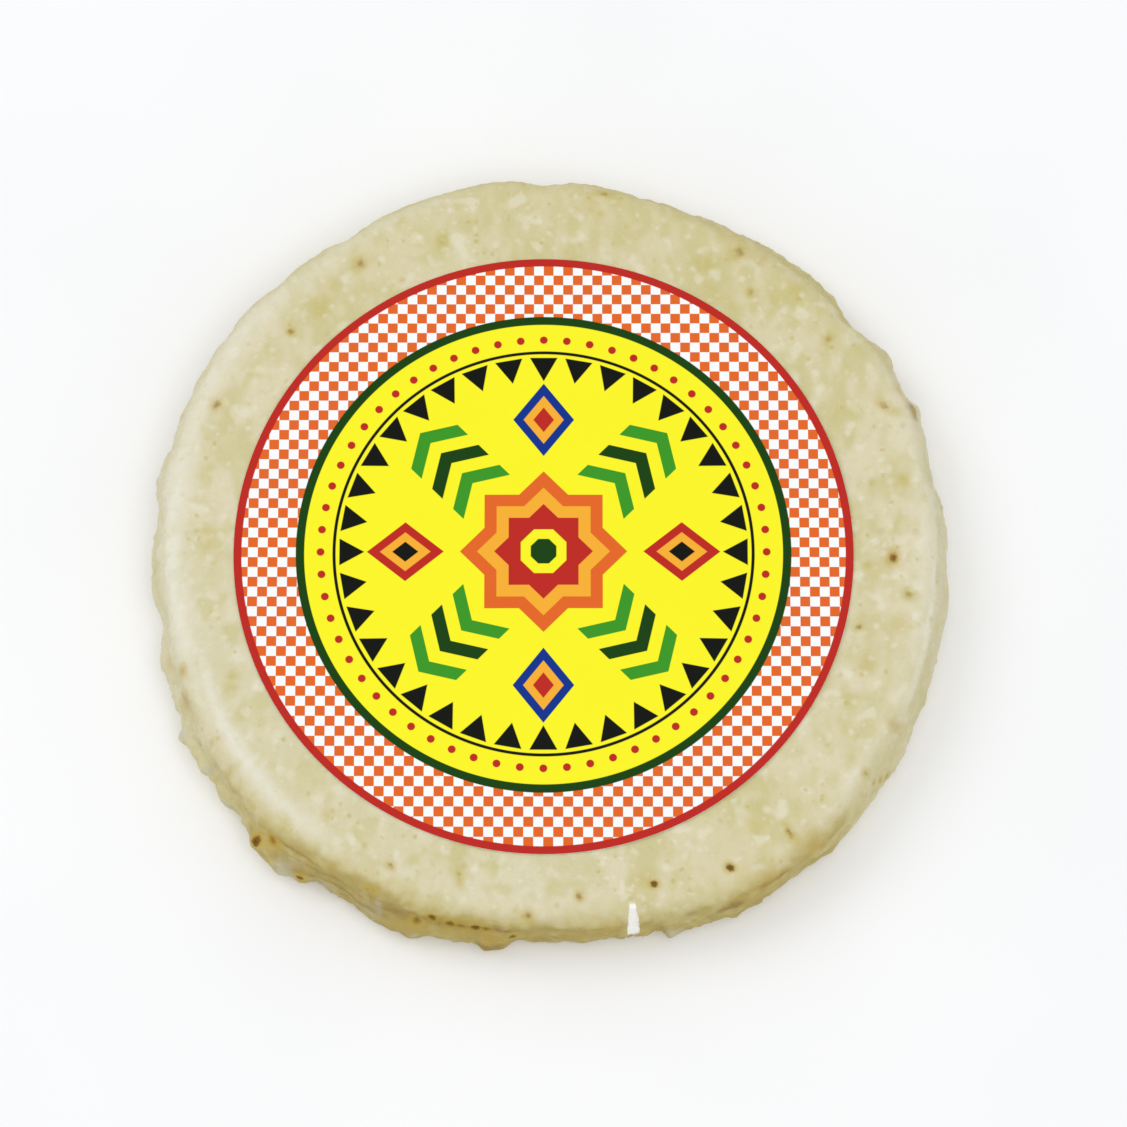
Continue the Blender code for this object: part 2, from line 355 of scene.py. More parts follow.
# ======================================================================
#  Marks of the crumb
# ======================================================================
# Bran specks and toasted spots on the top: (x, y in mm from the middle of
# the cake, radius, how dark, 0 olive to 1 rust, stretch, direction).
SPECKS = (
    (-36.6, 32.3, 0.44, 0.66, 0.6, 1.0, 0), (-26.8, 42.6, 0.72, 0.54, 0.4, 1.3, 60),
    (-47.0, 21.5, 0.72, 0.46, 0.4, 1.4, 70), (-15.2, 45.8, 0.70, 0.16, 0.2, 1.0, 0),
    (-48.5, 10.8, 0.75, 0.18, 0.1, 1.5, 80), (-48.5, 3.1, 0.80, 0.15, 0.0, 1.0, 0),
    (-48.1, 0.6, 0.70, 0.14, 0.0, 1.0, 0), (27.2, 44.4, 0.95, 0.46, 0.4, 1.1, 20),
    (28.8, 38.3, 0.60, 0.50, 0.3, 1.0, 0), (39.7, 31.3, 0.65, 0.42, 0.5, 1.1, 90),
    (47.6, 21.3, 0.60, 0.52, 0.5, 1.8, -35), (45.5, 9.9, 0.40, 0.30, 0.2, 1.0, 0),
    (50.1, 10.4, 0.70, 0.20, 0.1, 1.0, 0), (48.4, -1.1, 0.62, 0.90, 0.8, 1.3, 80), (48.9, 0.4, 0.40, 0.36, 0.8, 1.0, 0),
    (44.7, -2.2, 0.45, 0.26, 0.3, 1.0, 0), (50.5, -6.5, 0.66, 0.50, 0.2, 1.2, -20),
    (43.4, -11.2, 0.50, 0.62, 0.2, 1.1, 20), (14.6, -48.0, 0.49, 1.28, 0.5, 1.0, 0),
    (25.1, -45.7, 0.51, 1.30, 0.5, 1.1, -40), (4.2, -49.8, 0.55, 0.60, 0.7, 1.0, 0),
    (-2.8, -52.4, 0.62, 0.52, 0.5, 1.0, 0), (-21.8, -45.4, 0.50, 0.62, 0.4, 1.0, 0),
    (-12.3, -46.9, 0.50, 0.46, 0.3, 2.2, 90), (-30.6, -38.4, 0.60, 0.28, 0.3, 1.3, 60),
    (33.4, -40.8, 0.45, 0.60, 0.5, 2.4, -60), (44.1, -32.2, 0.42, 0.50, 0.2, 1.0, 0),
    (7.4, 50.1, 0.35, 0.20, 0.3, 1.0, 0), (7.9, 53.3, 0.65, 0.42, 0.5, 1.3, 0),
    (-51.1, -17.5, 0.60, 0.28, 0.4, 1.2, 90), (-51.2, -21.0, 0.65, 0.40, 0.7, 1.4, 90),
    (-44.2, -18.3, 0.48, 0.28, 0.1, 1.0, 0), (-44.2, -20.5, 0.80, 0.14, 0.0, 1.0, 0),
)
# The same on the side: (direction in degrees, height, radius, dark, rust).
SIDE_SPECKS = (
    (225.2, 6.0, 0.58, 1.35, 0.7), (226.9, 7.5, 0.95, 0.62, 0.9), (232.9, 5.2, 0.52, 1.35, 0.8), (242.6, 9.6, 0.42, 0.36, 0.4),
    (243.8, 9.8, 0.40, 0.42, 0.3), (250.8, 7.1, 0.80, 0.68, 0.5), (252.9, 8.5, 0.72, 0.92, 0.5),
    (255.6, 8.1, 0.84, 0.84, 0.5), (257.3, 8.1, 0.80, 0.68, 0.5), (259.3, 8.1, 0.80, 0.98, 0.4),
    (260.9, 7.9, 0.74, 0.70, 0.5), (264.8, 6.2, 0.62, 0.80, 0.3), (284.0, 5.0, 0.55, 0.50, 0.2),
    (297.2, 5.4, 0.50, 0.45, 0.1), (324.1, 7.9, 0.42, 0.42, 0.6), (325.2, 6.6, 0.45, 0.52, 0.6),
    (326.6, 5.0, 0.48, 0.45, 0.6), (22.0, 8.6, 0.55, 0.30, 0.2),
    (12.0, 4.4, 0.45, 0.60, 0.6), (70.0, 4.0, 0.60, 0.60, 0.7), (95.0, 6.0, 0.45, 0.70, 0.5),
    (118.0, 3.4, 0.55, 0.60, 0.6), (142.0, 5.2, 0.45, 0.80, 0.4), (157.0, 3.2, 0.60, 0.50, 0.8),
    (338.0, 3.6, 0.50, 0.60, 0.5), (40.0, 5.4, 0.40, 0.50, 0.4), (181.0, 4.2, 0.50, 0.55, 0.5),
)
# Soft olive blotches of the top: (x, y, radius, how much).
BLOTCHES = (
    (-32.7, 35.9, 2.3, 0.85), (-31.0, 39.7, 1.7, 0.6), (-21.3, 49.3, 1.3, 1.0), (-48.5, 9.7, 1.2, 0.6),
    (-48.3, 2.3, 1.5, 0.5), (-46.1, -0.9, 1.1, 0.6), (21.9, 42.5, 1.7, 0.9), (23.7, 38.6, 2.2, 0.6),
    (35.1, 38.8, 1.9, 0.9), (30.1, 35.1, 2.0, 0.45), (5.8, 53.0, 2.4, 0.7), (49.3, 20.4, 1.3, 0.8),
    (50.1, 10.2, 1.1, 0.9), (49.5, -10.5, 1.7, 0.8), (44.4, -16.7, 1.9, 0.95), (48.4, -25.2, 1.2, 1.3),
    (41.3, -25.3, 1.7, 0.6), (-43.9, -18.0, 1.3, 0.6), (-44.5, -20.1, 1.4, 0.6), (-39.9, -24.6, 0.9, 0.5),
    (12.9, -47.6, 2.0, 0.85), (-24.0, 43.0, 3.0, 0.35), (-15.0, 45.8, 1.6, 0.7),
    (9.4, 52.1, 1.2, 0.7), (24.3, 46.7, 1.2, 0.7), (-50.1, -22.1, 1.2, 0.6), (-50.1, -18.0, 1.3, 0.6), (28.4, -48.2, 1.4, 0.6),
    (35.5, -42.5, 1.6, 0.7), (-8.1, -53.1, 1.5, 0.6), (-4.4, -53.3, 1.5, 0.6), (50.5, -6.5, 0.9, 0.8), (43.0, -26.6, 0.9, 0.5),
)
# Golden places on the rim and side: (direction, height, radius, how much).
GILT = (
    (198.5, 9.6, 1.5, 0.5), (202.6, 7.4, 1.5, 0.6), (205.8, 8.8, 1.6, 0.4), (210.5, 10.2, 0.8, 0.5),
    (215.6, 10.0, 1.0, 0.6), (226.9, 8.0, 1.4, 0.55), (225.3, 7.0, 1.1, 0.45), (237.0, 8.0, 1.6, 0.6),
    (332.4, 10.0, 1.0, 0.6), (300.6, 9.2, 1.3, 0.5), (309.8, 10.0, 1.3, 0.5), (196.5, 7.1, 1.3, 0.5),
    (305.4, 8.7, 1.2, 0.5), (312.2, 7.7, 1.3, 0.6), (233.5, 6.7, 1.1, 0.6), (54.8, 10.4, 1.0, 0.5),
    (262.0, 6.0, 2.4, 0.6), (303.0, 9.0, 2.2, 0.6), (311.5, 9.2, 1.9, 0.8), (279.0, 8.1, 1.6, 0.7), (297.6, 8.8, 1.5, 0.6), (26.0, 9.5, 1.2, 0.5),
)
# Greyish pale places: painted highlights, glints of light reflected off a clear wrapping film over the side:
# (direction, height, radius, how much).
PAINTED_GLINTS = (
    (206.2, 5.4, 1.1, 0.9), (212.8, 6.0, 0.9, 0.8), (217.5, 3.6, 1.6, 0.8), (230.4, 5.0, 1.9, 0.8),
    (244.6, 8.6, 0.7, 0.55), (244.9, 7.6, 0.8, 0.7), (245.2, 6.4, 0.8, 0.6), (250.8, 4.2, 0.9, 0.7),
    (236.5, 4.6, 3.2, 0.42), (243.5, 4.6, 3.2, 0.42), (288.2, 4.0, 1.3, 0.8),
    (281.0, 3.6, 0.9, 0.5), (297.2, 5.0, 0.9, 0.5), (168.0, 5.5, 1.2, 0.5),
)
# Folds that run along the side: (direction of the middle, half-width in
# degrees, height, depth, half-height, slope in mm per 90 degrees, strength of the painted shade in the fold).
FOLDS = (
    (236, 24, 6.2, 0.42, 0.36, 0.5, 1.0), (238, 26, 3.7, 0.48, 0.34, -0.6, 1.0),
    (226, 22, 8.5, 0.32, 0.32, 0.8, 0.8), (257, 9, 8.0, 0.30, 0.36, -0.2, 0.8),
    (-20, 36, 5.7, 0.30, 0.50, 0.5, 0.25), (-8, 30, 3.4, 0.34, 0.55, -0.5, 0.3),
    (52, 26, 5.6, 0.36, 0.45, 0.6, 0.35), (66, 34, 3.2, 0.30, 0.60, -0.5, 0.25),
    (118, 40, 5.0, 0.28, 0.65, 0.7, 0.2), (150, 32, 3.4, 0.28, 0.60, -0.4, 0.2),
    (186, 26, 6.2, 0.22, 0.50, 0.4, 0.2), (300, 22, 4.2, 0.26, 0.50, 0.6, 0.4),
)
# Where the edge is ragged with crumbs: (direction, half-width, height).
RAGGED = ((206, 16, 0.08), (232, 16, 0.07), (256, 14, 0.06), (292, 14, 0.07), (40, 24, 0.06), (176, 12, 0.06),
          (328, 8, 0.05))
# Single crumbs that stand out of the edge (+) and nicks in it (-):
# (direction, half-width in degrees, mm out, height, half-height).
CRUMBS = (
    (5.0, 0.9, -0.40, 5.2, 4.5), (25.5, 2.0, -0.33, 5.5, 4.5), (61.5, 1.0, -0.31, 6.0, 4.0), (76.5, 1.4, -0.26, 7.0, 4.0),
    (104.5, 3.0, -0.20, 7.5, 4.0), (122.0, 3.0, -0.34, 7.5, 4.0), (126.5, 1.0, -0.32, 7.5, 4.0), (135.0, 3.0, -0.25, 7.5, 4.0),
    (144.0, 1.4, -0.24, 7.0, 4.0), (163.0, 0.8, -0.45, 6.0, 4.5), (165.5, 0.8, 0.45, 5.5, 2.5), (179.5, 1.4, 0.28, 5.5, 2.6),
    (185.0, 3.0, 0.25, 5.0, 3.0), (195.5, 2.0, 0.45, 5.0, 2.8), (204.2, 1.4, -0.95, 4.2, 4.5), (214.0, 1.5, -0.92, 4.0, 4.5),
    (218.3, 1.8, 0.50, 3.2, 2.4), (225.0, 1.3, 0.60, 4.6, 2.0), (233.0, 0.8, 0.60, 3.8, 1.8), (235.2, 0.8, -0.32, 3.2, 3.5),
    (238.0, 1.4, 0.30, 3.0, 2.2), (250.3, 1.0, 0.60, 2.8, 2.0), (259.5, 0.8, -0.55, 3.0, 3.5), (265.5, 1.5, -0.58, 3.2, 4.0),
    (270.3, 1.8, 0.50, 2.6, 2.4), (286.0, 1.1, -0.65, 3.4, 4.0), (288.0, 0.8, 0.60, 3.0, 2.0), (290.0, 1.1, -0.70, 3.4, 4.0),
    (297.0, 0.8, 0.33, 3.0, 2.0), (340.0, 1.4, -0.24, 4.5, 4.0), (351.0, 2.0, 0.30, 4.8, 2.6), (356.3, 1.8, 0.26, 5.0, 2.6),
)
# Where the side is toasted and, strongest on the near side, darkened by painted shade: (direction, half-width in
# degrees, how much).
TOAST_AND_SHADE = ((258, 46, 1.0), (300, 21, 0.95), (228, 14, 0.35), (52, 26, 0.45), (330, 16, 0.22), (110, 36, 0.20))
# Browned streaks along the side: (direction, half-width in degrees, height,
# half-height, how much).
SCORCHED = (
    (257.5, 8.5, 8.0, 1.05, 1.0), (247.5, 4.0, 7.6, 0.9, 0.6), (236, 5.0, 7.5, 0.55, 0.6), (231, 5.0, 6.6, 0.5, 0.5),
    (296.4, 2.6, 7.4, 0.9, 0.9), (290.9, 1.2, 8.9, 0.7, 0.6), (304.0, 3.0, 8.4, 0.8, 0.7), (314.0, 3.5, 8.2, 0.7, 0.4), (270.0, 5.0, 5.2, 0.8, 0.5),
    (261.8, 2.2, 3.6, 1.4, 0.7), (22.2, 1.6, 8.9, 1.1, 0.9), (201.9, 1.2, 7.8, 0.8, 0.5),
)
# Where it starts further out (+) or in (-): (direction, half-width, mm).
TOAST_AND_SHADE_STARTS = ((274, 18, 1.0), (302, 16, 0.8), (243, 12, -1.3))
# Raised bands along the rim, painted paler as a painted highlight, the sheen of
# light on the rim: (direction, half-width in degrees, place along the section, half-width in mm, how much).
RAISED_HIGHLIGHT_BANDS = (
    (214, 20, 52.2, 1.3, 1.0), (181, 26, 54.0, 2.3, 1.0), (150, 24, 54.0, 2.2, 0.8), (120, 22, 54.6, 1.6, 0.45),
    (348, 17, 55.1, 0.7, 0.9), (322, 14, 53.6, 1.0, 0.4), (0, 26, 53.6, 1.8, 0.5), (34, 16, 54.6, 0.8, 0.4),
)
# Tone of the top: (direction, half-width, amount), warmer or paler.
WARMER = ((88, 46, 1.0), (48, 22, 0.7), (301, 20, 0.9), (130, 20, 0.5))
COOLER = ((204, 26, 1.35), (240, 30, 1.0), (272, 18, 0.95), (180, 20, 0.8), (336, 18, 0.5))


def bell(deg, marks, power=2):
    out = np.zeros(np.shape(deg))
    for where, half, amount in marks:
        out = np.maximum(out, amount * np.exp(-np.abs(turn(deg, where) / half) ** power))
    return out


def side_spots(deg, z, zone, marks):
    out = np.zeros(len(deg))
    for where, height, radius, amount in marks:
        arc = turn(deg, where) / 57.3 * 56.0
        d2 = arc * arc + (z - height) ** 2
        out = np.maximum(out, np.where(zone == 1, amount * np.exp(-d2 / (radius * radius)), 0.0))
    return out


def bands(deg, along, marks):
    out = np.zeros(len(deg))
    for where, half, place, reach, amount in marks:
        near = np.exp(-np.abs(turn(deg, where) / half) ** 3)
        out = np.maximum(out, amount * near * np.exp(-((along - place) / reach) ** 2))
    return out


def scatter_fields(pts, want, radii, seed, keep):
    """Adds a soft blob at each of `want` points picked from pts[keep]."""
    rng = np.random.RandomState(seed)
    field = np.zeros(len(pts))
    pool = np.nonzero(keep)[0]
    tree = kdtree.KDTree(len(pool))
    for n, i in enumerate(pool):
        tree.insert(pts[i], n)
    tree.balance()
    for i in rng.choice(pool, want, replace=False):
        radius = rng.uniform(*radii)
        strength = rng.uniform(0.6, 1.0)
        squash = rng.uniform(0.0, 0.45)
        ang = rng.uniform(0, math.pi)
        ax = np.array([math.cos(ang), math.sin(ang), 0.0])
        for co, n, d in tree.find_range(pts[i], radius * 2.2):
            j = pool[n]
            v = pts[j] - pts[i]
            lean = float(np.dot(v, ax))
            d2 = (d * d - squash * lean * lean) / (radius * radius)
            field[j] = max(field[j], strength * math.exp(-d2))
    return field


def dress_cake():
    pts, faces, along, zone = build_cake()
    normal = point_normals(pts, faces)
    x, y, z = pts[:, 0], pts[:, 1], pts[:, 2]
    r = np.hypot(x, y)
    deg = np.degrees(np.arctan2(y, x))
    from_label = np.hypot(x - LABEL_X, y - LABEL_Y)

    is_top = (zone < 2)
    under = zone == 2
    side = np.where(zone == 1, smooth(0.0, 4.2, along - (MEAN_RADIUS - SHOULDER_IN)), 0.0)
    clear = np.where(zone == 0, 0.25 + 0.75 * smooth(43.2, 46.5, from_label), 1.0)
    foot = np.where(zone == 1, smooth(0.15, 1.6, z), 0.0)
    in_split = smooth(0.7, 0.2, np.abs(r - split_wall(deg, z))) * smooth(1.4, 2.8, z)

    # ---- form: slow unevenness, pats and dimples of the hand
    d = 0.20 * layered(pts, 15.0, 2, 3) + 0.085 * layered(pts, 5.0, 2, 11)
    d += 0.035 * layered(pts, 1.7, 2, 21)
    # the crumb of the side is coarser, and lies in rough layers
    ring = np.stack([deg * 0.98 * 56.0 / 57.3, z * 0.0, z], 1)
    strands = np.stack([deg / 57.3 * 56.0 / 7.0, z / 1.15, z * 0.0 + 3.1], 1)
    rough = 0.20 * layered(pts, 3.6, 3, 31, 0.6) + 0.24 * gradient_noise(strands, 41)
    torn = 0.05 + bell(deg, RAGGED, 4) * (0.35 + 0.75 * smooth(-0.5, 1.2, patches(pts, 5.5, 2, 36)))
    rough += torn * np.clip(patches(pts, 1.7, 3, 35, 0.6), -1.1, 2.6)
    d += side * foot * rough

    # raised bands on the rim; their paler colour is a painted highlight
    raised_highlight = bands(deg, along, RAISED_HIGHLIGHT_BANDS)
    d += 0.10 * raised_highlight

    for where, half, out, height, reach in CRUMBS:
        off = np.abs(turn(deg, where) / half)
        d += np.where((zone == 1) & (off < 3.0), out * np.exp(-off ** 3 - np.abs((z - height) / reach) ** 3), 0.0) * foot

    # painted shade: how dark each fold's groove is painted
    fold_shade = np.zeros(len(pts))
    for where, half, height, depth, tall, slope, shade in FOLDS:
        off = turn(deg, where)
        wander = 0.45 * gradient_noise(np.stack([deg / 57.3 * 56.0 / 6.0, z * 0 + height, z * 0], 1), 51)
        line = height + slope * off / 90.0 + wander
        here = np.exp(-(off / half) ** 4) * (zone == 1)
        broken = smooth(-0.75, 0.55, gradient_noise(np.stack([deg / 57.3 * 56.0 / 9.0, z * 0 + height * 3, z * 0], 1), 52))
        g = here * broken * np.exp(-((z - line) / tall) ** 2)
        d -= depth * g
        fold_shade = np.maximum(fold_shade, g * shade)

    # ---- grits that stand up, and pits
    open_air = (is_top & (from_label > 44.2))
    grits = scatter_fields(pts, 620, (0.32, 0.70), 7, open_air)
    pits = scatter_fields(pts, 150, (0.35, 0.75), 8, open_air)
    nubs = scatter_fields(pts, 90, (0.55, 1.25), 9, (zone == 1) & (z < 6.5) & (z > 1.2))
    d += 0.055 * grits * clear - 0.075 * pits
    d += 0.45 * nubs * foot

    # ---- specks: a dark core in a slight hollow, with a stain round it
    core = np.zeros(len(pts))
    stain = np.zeros(len(pts))
    rust = np.zeros(len(pts))

    def add_speck(dx, dy, dz, radius, dark, hue):
        d2 = dx * dx + dy * dy + dz * dz
        a = dark * np.exp(-d2 / (radius * radius))
        b = min(0.88, 0.32 + 0.56 * dark) * np.exp(-d2 / (1.95 * radius) ** 2)
        nonlocal core, stain, rust
        rust = np.where(b > stain, hue, rust)
        core = np.maximum(core, a)
        stain = np.maximum(stain, b)

    for sx, sy, radius, dark, hue, stretch, way in SPECKS:
        ca, sa = math.cos(math.radians(way)), math.sin(math.radians(way))
        dx, dy = x - sx, y - sy
        low = np.maximum(0.0, 9.6 - z) * 0.8
        add_speck(np.where(under, 99.0, (dx * ca + dy * sa) / stretch), -dx * sa + dy * ca, low, radius, dark, hue)
    for where, height, radius, dark, hue in SIDE_SPECKS:
        arc = turn(deg, where) / 57.3 * 56.0
        add_speck(np.where(zone == 1, arc, 99.0), (z - height) * 1.1, 0.0, radius, dark, hue)
    rng = np.random.RandomState(77)
    pool = np.nonzero(is_top & (from_label > 45.0))[0]
    for i in rng.choice(pool, 30, replace=False):
        radius, dark, hue = rng.uniform(0.22, 0.42), rng.uniform(0.05, 0.20), rng.uniform(0.0, 0.8)
        add_speck(np.where(under, 99.0, x - x[i]), y - y[i], z - z[i], radius, dark, hue)
    d -= 0.10 * np.minimum(core, 1.0) * clear
    # pressed level under the paper
    d = np.where(zone == 0, np.minimum(d, 0.02 + 0.5 * smooth(42.4, 44.8, from_label)), d)

    # ---- the split's walls are torn crumb
    d = d * (1.0 - 0.8 * in_split) + in_split * 0.16 * layered(pts, 1.4, 2, 61)
    # ---- the underside stays level
    d = np.where(under, 0.0, d)
    new = pts + normal * d[:, None]
    # rows next to the base close gently onto it
    new[:, 2] = np.where(zone == 1, np.maximum(new[:, 2], 0.02), new[:, 2])
    new[:, 2] = np.where(under & (along > along[under].min() + 1.5),
                         np.maximum(0.0, 0.05 * layered(pts, 2.6, 2, 71)), new[:, 2])

    inward = along - (MEAN_RADIUS - SHOULDER_IN) + 0.4 * layered(pts, 3.0, 2, 151)
    for where, half, out in TOAST_AND_SHADE_STARTS:
        inward = inward - out * np.exp(-(turn(deg, where) / half) ** 2)
    toast_and_shade = bell(deg, TOAST_AND_SHADE, 4) * smooth(-0.9, 4.2, inward)
    olive = np.zeros(len(pts))
    for bx, by, radius, amount in BLOTCHES:
        d2 = (x - bx) ** 2 + (y - by) ** 2 + np.maximum(0.0, 9.6 - z) ** 2
        olive = np.maximum(olive, np.where(under, 0.0, amount * np.exp(-d2 / (radius * radius))))
    scorch = np.zeros(len(pts))
    for where, half, height, tall, amount in SCORCHED:
        wander = 0.35 * gradient_noise(np.stack([deg / 57.3 * 56.0 / 3.0, z * 0 + height, z * 0], 1), 171)
        near = np.exp(-np.abs(turn(deg, where) / half) ** 3) * np.exp(-((z - height - wander) / tall) ** 2)
        scorch = np.maximum(scorch, np.where(zone == 1, amount * near, 0.0))
    fields = {
        "side": side + np.where(under, 1.0, 0.0),
        "under": np.where(under, 1.0, 0.0),
        "toast_and_shade": np.where(under, 0.0, toast_and_shade),
        "raised_highlight": np.where(under, 0.0, raised_highlight),
        "olive": olive,
        # tint: golden places up, painted glints of light down
        "tint": side_spots(deg, z, zone, GILT) - side_spots(deg, z, zone, PAINTED_GLINTS),
        "tone": np.where(under, 0.0, bell(deg, WARMER) - bell(deg, COOLER)),
        "split": in_split,
        "fold_shade": fold_shade,
        "scorch": scorch,
        "core": core,
        "stain": stain,
        "rust": rust,
        "grit": grits,
        "pit": pits,
        "cloud": patches(pts, 12.0, 3, 101),
        "mottle": patches(pts, 4.2, 2, 111, 0.55),
        "starch": patches(pts, 2.8, 2, 121, 0.6),
        "grain": patches(pts, 1.6, 2, 131),
        "streak": patches(pts * np.array([1.0, 0.55, 1.0]), 2.2, 2, 161),
        "blotch": patches(pts, 6.0, 3, 141, 0.6),
    }
    return pts, new, faces, along, zone, fields


def shifted(pts):
    return (pts + np.array([SHIFT_X, SHIFT_Y, 0.0])) * MM


def make_mesh(name, pts, faces, fields=None):
    me = bpy.data.meshes.new(name)
    me.from_pydata(pts.tolist(), [], faces)
    me.update()
    for key, values in (fields or {}).items():
        at = me.attributes.new(key, 'FLOAT', 'POINT')
        at.data.foreach_set("value", np.asarray(values, np.float32))
    me.shade_smooth()
    ob = bpy.data.objects.new(name, me)
    bpy.context.scene.collection.objects.link(ob)
    return ob


def polar_uv(me, pts, along, zone, name="OFBake"):
    """The top and side unrolled as one disc, and the underside as a small
    one in the corner."""
    layer = me.uv_layers.new(name=name)
    top_reach = along[zone == 1].max() + 0.6
    squeeze = lambda a: np.where(a < 42.0, a * 34.0 / 42.0, a - 8.0)
    full = squeeze(np.array([top_reach]))[0]
    deg = np.arctan2(pts[:, 1], pts[:, 0])
    rho = squeeze(along) / full * 0.43
    u = 0.437 + rho * np.cos(deg)
    v = 0.437 + rho * np.sin(deg)
    rr = np.hypot(pts[:, 0], pts[:, 1])
    ub = 0.871 + rr / 58.0 * 0.125 * np.cos(deg)
    vb = 0.871 + rr / 58.0 * 0.125 * np.sin(deg)
    n = len(me.loops)
    vi = np.zeros(n, np.int32)
    me.loops.foreach_get("vertex_index", vi)
    lt = np.zeros(len(me.polygons), np.int32)
    me.polygons.foreach_get("loop_total", lt)
    face_under = np.array([all(zone[k] == 2 for k in p.vertices) for p in me.polygons])
    lu = np.repeat(face_under, lt)
    uv = np.stack([np.where(lu, ub[vi], u[vi]), np.where(lu, vb[vi], v[vi])], 1)
    layer.data.foreach_set("uv", uv.astype(np.float32).ravel())


# ======================================================================
#  Arithmetic written as shader nodes
# ======================================================================


class Num:
    """A number in a node tree: + - * / and the functions below add nodes."""

    def __init__(self, tree, socket):
        self.tree, self.socket = tree, socket

    def op(self, kind, *others, clamp=False):
        node = self.tree.nodes.new("ShaderNodeMath")
        node.operation = kind
        node.use_clamp = clamp
        for k, item in enumerate((self,) + others):
            if isinstance(item, Num):
                self.tree.links.new(item.socket, node.inputs[k])
            else:
                node.inputs[k].default_value = float(item)
        return Num(self.tree, node.outputs[0])

    def __add__(self, o): return self.op('ADD', o)
    def __radd__(self, o): return self.op('ADD', o)
    def __sub__(self, o): return self.op('SUBTRACT', o)
    def __rsub__(self, o): return (self * -1.0) + o
    def __mul__(self, o): return self.op('MULTIPLY', o)
    def __rmul__(self, o): return self.op('MULTIPLY', o)
    def __truediv__(self, o): return self.op('DIVIDE', o)
    def __neg__(self): return self * -1.0
    def abs(self): return self.op('ABSOLUTE')
    def sin(self): return self.op('SINE')
    def cos(self): return self.op('COSINE')
    def sqrt(self): return self.op('SQRT')
    def floor(self): return self.op('FLOOR')
    def fract(self): return self.op('FRACT')
    def min(self, o): return self.op('MINIMUM', o)
    def max(self, o): return self.op('MAXIMUM', o)
    def power(self, o): return self.op('POWER', o)
    def atan2(self, o): return self.op('ARCTAN2', o)

    def ramp(self, a, b, lo=0.0, hi=1.0):
        """Smooth step from lo at a to hi at b."""
        node = self.tree.nodes.new("ShaderNodeMapRange")
        node.interpolation_type = 'SMOOTHSTEP'
        flip = a > b
        if flip:
            a, b, lo, hi = b, a, hi, lo
        node.inputs["From Min"].default_value = a
        node.inputs["From Max"].default_value = b
        node.inputs["To Min"].default_value = lo
        node.inputs["To Max"].default_value = hi
        self.tree.links.new(self.socket, node.inputs["Value"])
        return Num(self.tree, node.outputs["Result"])

    def below(self, edge, soft):
        return self.ramp(edge + soft, edge - soft)


